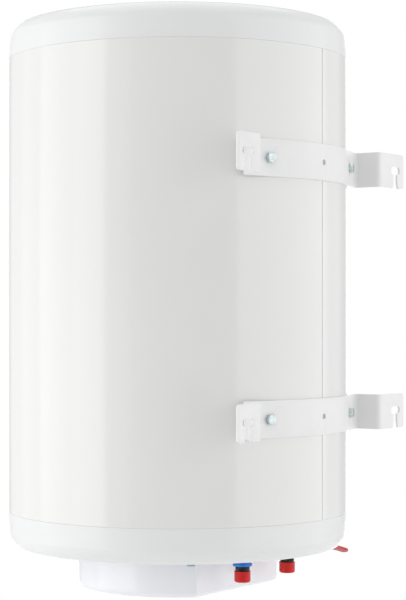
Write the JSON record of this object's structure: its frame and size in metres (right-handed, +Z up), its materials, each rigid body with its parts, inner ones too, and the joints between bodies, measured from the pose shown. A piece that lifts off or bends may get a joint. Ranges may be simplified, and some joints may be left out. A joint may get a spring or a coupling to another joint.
{
  "type": "tank water heater",
  "caption": "Round wall-hung electric storage water heater with domed lids, back brackets with keyhole tabs, capped pipe stubs and a cover with knob below.",
  "frame": {"origin": "on the wall plane, in the middle of the four hook seats of the wall brackets", "axes": "+Z up along the tank's axis, +Y into the wall, front faces -Y, +X is the cold inlet's side"},
  "size_m": [0.5, 0.507, 0.8249],
  "materials": {
    "jacket_enamel": "gloss",
    "lid_plastic": "satin",
    "cover_plastic": "gloss",
    "bracket_paint": "satin",
    "zinc_plate": "satin",
    "foam": "matte",
    "tank_steel": "satin",
    "pipe_black": "gloss",
    "ring_blue": "gloss",
    "ring_red": "gloss",
    "cap_red": "gloss",
    "tag_red": "gloss",
    "pipe_plastic": "matte",
    "gasket_rubber": "matte",
    "plated_steel": "satin",
    "element_copper": "satin",
    "stainless": "satin",
    "magnesium": "matte",
    "control_plastic": "matte",
    "knob_plastic": "satin",
    "reset_red": "gloss",
    "clip_plastic": "satin",
    "lamp_lens": "gloss",
    "grommet_rubber": "matte",
    "terminal_plastic": "matte",
    "terminal_brass": "satin",
    "lead_brown": "satin",
    "lead_blue": "satin",
    "lead_green": "satin"
  },
  "bodies": {
    "heater": {"outer_jacket": "jacket_enamel", "top_lid": "lid_plastic", "bottom_lid": "lid_plastic", "insulation_foam": "foam", "upper_wall_bracket": "bracket_paint", "lower_wall_bracket": "bracket_paint", "upper_bracket_bolts": "zinc_plate", "lower_bracket_bolts": "zinc_plate", "bracket_posts": "tank_steel", "tank_shell": "tank_steel", "tank_top_dome": "tank_steel", "tank_bottom_dome": "tank_steel", "cold_inlet_stub": "pipe_black", "hot_outlet_stub": "pipe_black", "cold_inlet_ring": "ring_blue", "hot_outlet_ring": "ring_red", "hot_outlet_tag": "tag_red", "cold_diffuser": "pipe_plastic", "hot_standpipe": "stainless", "flange_ring": "tank_steel", "flange_studs": "plated_steel", "flange_nuts": "plated_steel", "flange_gasket": "gasket_rubber", "flange_plate": "plated_steel", "heating_element_left": "element_copper", "heating_element_right": "element_copper", "sensor_pocket": "stainless", "anode_rod": "magnesium", "anode_nut": "plated_steel", "earth_stud": "plated_steel", "earth_nut": "plated_steel", "thermostat_body": "control_plastic", "thermostat_probe": "stainless", "safety_cutout_body": "control_plastic", "electrical_cover": "cover_plastic", "cover_screws": "zinc_plate", "cover_clips": "clip_plastic", "pilot_lamp_lens": "lamp_lens", "pilot_lamp_holder": "control_plastic", "supply_lead_grommet": "grommet_rubber", "supply_lead_clamp": "terminal_plastic", "terminal_block": "terminal_plastic", "terminal_screws": "terminal_brass", "lead_live": "lead_brown", "lead_neutral": "lead_blue", "lead_earth": "lead_green", "lead_element": "lead_brown"},
    "knob": {"thermostat_knob": "knob_plastic", "thermostat_spindle": "control_plastic"},
    "reset": {"cutout_reset_button": "reset_red"},
    "cold_cap": {"cold_inlet_cap": "cap_red"},
    "hot_cap": {"hot_outlet_cap": "cap_red"}
  },
  "joints": [
    {"name": "thermostat_knob_turn", "type": "hinge", "parent": "heater", "child": "knob", "pos_m": [0, -0.317, -0.44125], "axis": [0, 0, 1], "range_deg": [0, 270]},
    {"name": "reset_button_press", "type": "slide", "parent": "heater", "child": "reset", "axis": [0, 0, 1], "range_m": [0, 0.002], "stiffness_N_per_m": 300, "springref_m": -0.001},
    {"name": "cold_cap_pull", "type": "slide", "parent": "heater", "child": "cold_cap", "axis": [0, 0, -1], "range_m": [0, 0.03]},
    {"name": "hot_cap_pull", "type": "slide", "parent": "heater", "child": "hot_cap", "axis": [0, 0, -1], "range_m": [0, 0.03]}
  ]
}
